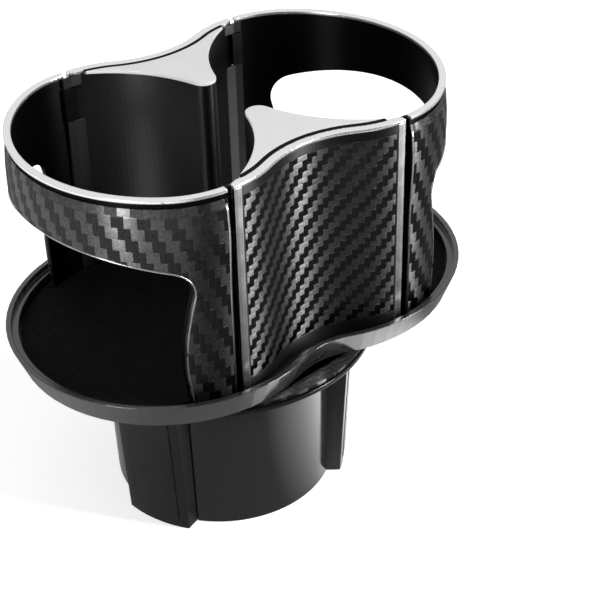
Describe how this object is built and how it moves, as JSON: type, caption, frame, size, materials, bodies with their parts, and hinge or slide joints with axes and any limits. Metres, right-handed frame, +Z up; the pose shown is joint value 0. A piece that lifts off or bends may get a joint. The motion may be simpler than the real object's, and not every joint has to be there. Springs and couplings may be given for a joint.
{
  "type": "two-cup holder expander",
  "caption": "Two-cup expander for a car cup holder: two open holders with mug-handle windows on a figure-eight tray that swivels on a base with screw-driven gripping arms.",
  "frame": {"origin": "on the base axis at the underside of the base, where it stands in the car's own cup holder", "axes": "+Z up, +X along the line of the two cups, +Y to the back"},
  "size_m": [0.1746, 0.1144, 0.1498],
  "materials": {
    "black_gloss": "gloss",
    "black_matte": "fine grain",
    "carbon_skin": "twill-weave pattern under gloss",
    "silver": "satin silver",
    "black_rubber": "matt",
    "white_nylon": "smooth",
    "zinc_screws": "plated"
  },
  "bodies": {
    "base": {"base_cup": "black_gloss", "guide_plate": "black_matte", "guide_screws": "zinc_screws", "swivel_plate": "black_matte", "plate_screws": "zinc_screws", "swivel_washer": "white_nylon"},
    "dial": {"scroll_disc": "white_nylon", "knob": "black_matte", "knob_screw": "zinc_screws"},
    "grip_1": {"arm_1": "black_gloss", "pad_1": "black_rubber"},
    "grip_2": {"arm_2": "black_gloss", "pad_2": "black_rubber"},
    "grip_3": {"arm_3": "black_gloss", "pad_3": "black_rubber"},
    "holder": {"swivel_collar": "black_gloss", "retaining_ring": "zinc_screws", "pivot_screw": "zinc_screws", "collar_screws": "zinc_screws", "tray": "black_gloss", "panel_screws": "zinc_screws", "left_mat": "black_rubber", "right_mat": "black_rubber", "front_panel": "black_matte", "front_inlay": "carbon_skin", "front_cap": "silver", "front_trim": "silver", "back_panel": "black_matte", "back_inlay": "carbon_skin", "back_cap": "silver", "back_trim": "silver", "left_band": "black_matte", "left_skin": "carbon_skin", "left_trim": "silver", "right_band": "black_matte", "right_skin": "carbon_skin", "right_trim": "silver"}
  },
  "joints": [
    {"name": "swivel", "type": "hinge", "parent": "base", "child": "holder", "pos_m": [0, 0, 0.0634], "axis": [0, 0, 1], "continuous": true},
    {"name": "knob_turn", "type": "hinge", "parent": "base", "child": "dial", "pos_m": [0, 0, 0.009], "axis": [0, 0, 1], "range_deg": [-119, 119]},
    {"name": "arm_slide_1", "type": "slide", "parent": "base", "child": "grip_1", "axis": [-0.9272, -0.3746, 0], "range_m": [-0.004, 0.004]},
    {"name": "arm_slide_2", "type": "slide", "parent": "base", "child": "grip_2", "axis": [0.788, -0.6157, 0], "range_m": [-0.004, 0.004]},
    {"name": "arm_slide_3", "type": "slide", "parent": "base", "child": "grip_3", "axis": [0.1392, 0.9903, 0], "range_m": [-0.004, 0.004]}
  ],
  "couplings": [
    {"joint": "arm_slide_1", "follows": "knob_turn", "m_per_rad": 0.0019099},
    {"joint": "arm_slide_2", "follows": "knob_turn", "m_per_rad": 0.0019099},
    {"joint": "arm_slide_3", "follows": "knob_turn", "m_per_rad": 0.0019099}
  ]
}
